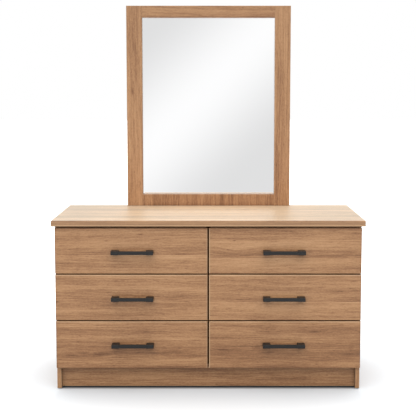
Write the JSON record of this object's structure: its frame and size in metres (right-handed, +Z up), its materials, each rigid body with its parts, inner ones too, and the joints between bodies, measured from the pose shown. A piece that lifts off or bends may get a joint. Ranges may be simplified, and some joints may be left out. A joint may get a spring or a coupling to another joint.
{
  "type": "dresser",
  "caption": "Chest of drawers with a framed mirror standing on its top; the drawers slide out on metal runners and have dark bar handles.",
  "frame": {"origin": "on the floor, under the middle of the dresser's bounding box", "axes": "+Z up, -Y the way the drawer fronts face, +X to the right as seen from the front"},
  "size_m": [1.16, 0.4918, 1.464],
  "materials": {
    "wood_laminate": "satin woodgrain laminate",
    "melamine": "matt white melamine",
    "hardboard": "matt hardboard",
    "backing_board": "raw fibreboard",
    "batten_wood": "planed softwood",
    "handle_metal": "matt dark powder coat",
    "runner_steel": "zinc plated",
    "screw_steel": "zinc plated",
    "mirror_silver": "silvered and bevelled",
    "glide_plastic": "moulded",
    "bumper_rubber": "clear soft"
  },
  "bodies": {
    "cabinet": {"back_panels": "hardboard", "bottom_panel": "wood_laminate", "cabinet_runners": "runner_steel", "cabinet_screws": "screw_steel", "cam_locks": "screw_steel", "centre_divider": "wood_laminate", "drawer_bumpers": "bumper_rubber", "floor_glides": "glide_plastic", "front_rails": "wood_laminate", "mirror_backing": "backing_board", "mirror_battens": "batten_wood", "mirror_clips": "screw_steel", "mirror_glass": "mirror_silver", "mirror_rail_bottom": "wood_laminate", "mirror_rail_top": "wood_laminate", "mirror_screws": "screw_steel", "mirror_stile_left": "wood_laminate", "mirror_stile_right": "wood_laminate", "plinth_front": "wood_laminate", "plinth_rear": "wood_laminate", "rear_rails": "wood_laminate", "side_panel_left": "wood_laminate", "side_panel_right": "wood_laminate", "top_panel": "wood_laminate"},
    "top_left_drawer": {"top_left_drawer_bottom": "melamine", "top_left_drawer_box": "melamine", "top_left_drawer_front": "wood_laminate", "top_left_drawer_handle": "handle_metal", "top_left_drawer_runners": "runner_steel", "top_left_drawer_screws": "screw_steel"},
    "top_right_drawer": {"top_right_drawer_bottom": "melamine", "top_right_drawer_box": "melamine", "top_right_drawer_front": "wood_laminate", "top_right_drawer_handle": "handle_metal", "top_right_drawer_runners": "runner_steel", "top_right_drawer_screws": "screw_steel"},
    "middle_left_drawer": {"middle_left_drawer_bottom": "melamine", "middle_left_drawer_box": "melamine", "middle_left_drawer_front": "wood_laminate", "middle_left_drawer_handle": "handle_metal", "middle_left_drawer_runners": "runner_steel", "middle_left_drawer_screws": "screw_steel"},
    "middle_right_drawer": {"middle_right_drawer_bottom": "melamine", "middle_right_drawer_box": "melamine", "middle_right_drawer_front": "wood_laminate", "middle_right_drawer_handle": "handle_metal", "middle_right_drawer_runners": "runner_steel", "middle_right_drawer_screws": "screw_steel"},
    "bottom_left_drawer": {"bottom_left_drawer_bottom": "melamine", "bottom_left_drawer_box": "melamine", "bottom_left_drawer_front": "wood_laminate", "bottom_left_drawer_handle": "handle_metal", "bottom_left_drawer_runners": "runner_steel", "bottom_left_drawer_screws": "screw_steel"},
    "bottom_right_drawer": {"bottom_right_drawer_bottom": "melamine", "bottom_right_drawer_box": "melamine", "bottom_right_drawer_front": "wood_laminate", "bottom_right_drawer_handle": "handle_metal", "bottom_right_drawer_runners": "runner_steel", "bottom_right_drawer_screws": "screw_steel"}
  },
  "joints": [
    {"name": "top_left_drawer_slide", "type": "slide", "parent": "cabinet", "child": "top_left_drawer", "axis": [0, -1, 0], "range_m": [0, 0.26]},
    {"name": "top_right_drawer_slide", "type": "slide", "parent": "cabinet", "child": "top_right_drawer", "axis": [0, -1, 0], "range_m": [0, 0.26]},
    {"name": "middle_left_drawer_slide", "type": "slide", "parent": "cabinet", "child": "middle_left_drawer", "axis": [0, -1, 0], "range_m": [0, 0.26]},
    {"name": "middle_right_drawer_slide", "type": "slide", "parent": "cabinet", "child": "middle_right_drawer", "axis": [0, -1, 0], "range_m": [0, 0.26]},
    {"name": "bottom_left_drawer_slide", "type": "slide", "parent": "cabinet", "child": "bottom_left_drawer", "axis": [0, -1, 0], "range_m": [0, 0.26]},
    {"name": "bottom_right_drawer_slide", "type": "slide", "parent": "cabinet", "child": "bottom_right_drawer", "axis": [0, -1, 0], "range_m": [0, 0.26]}
  ]
}
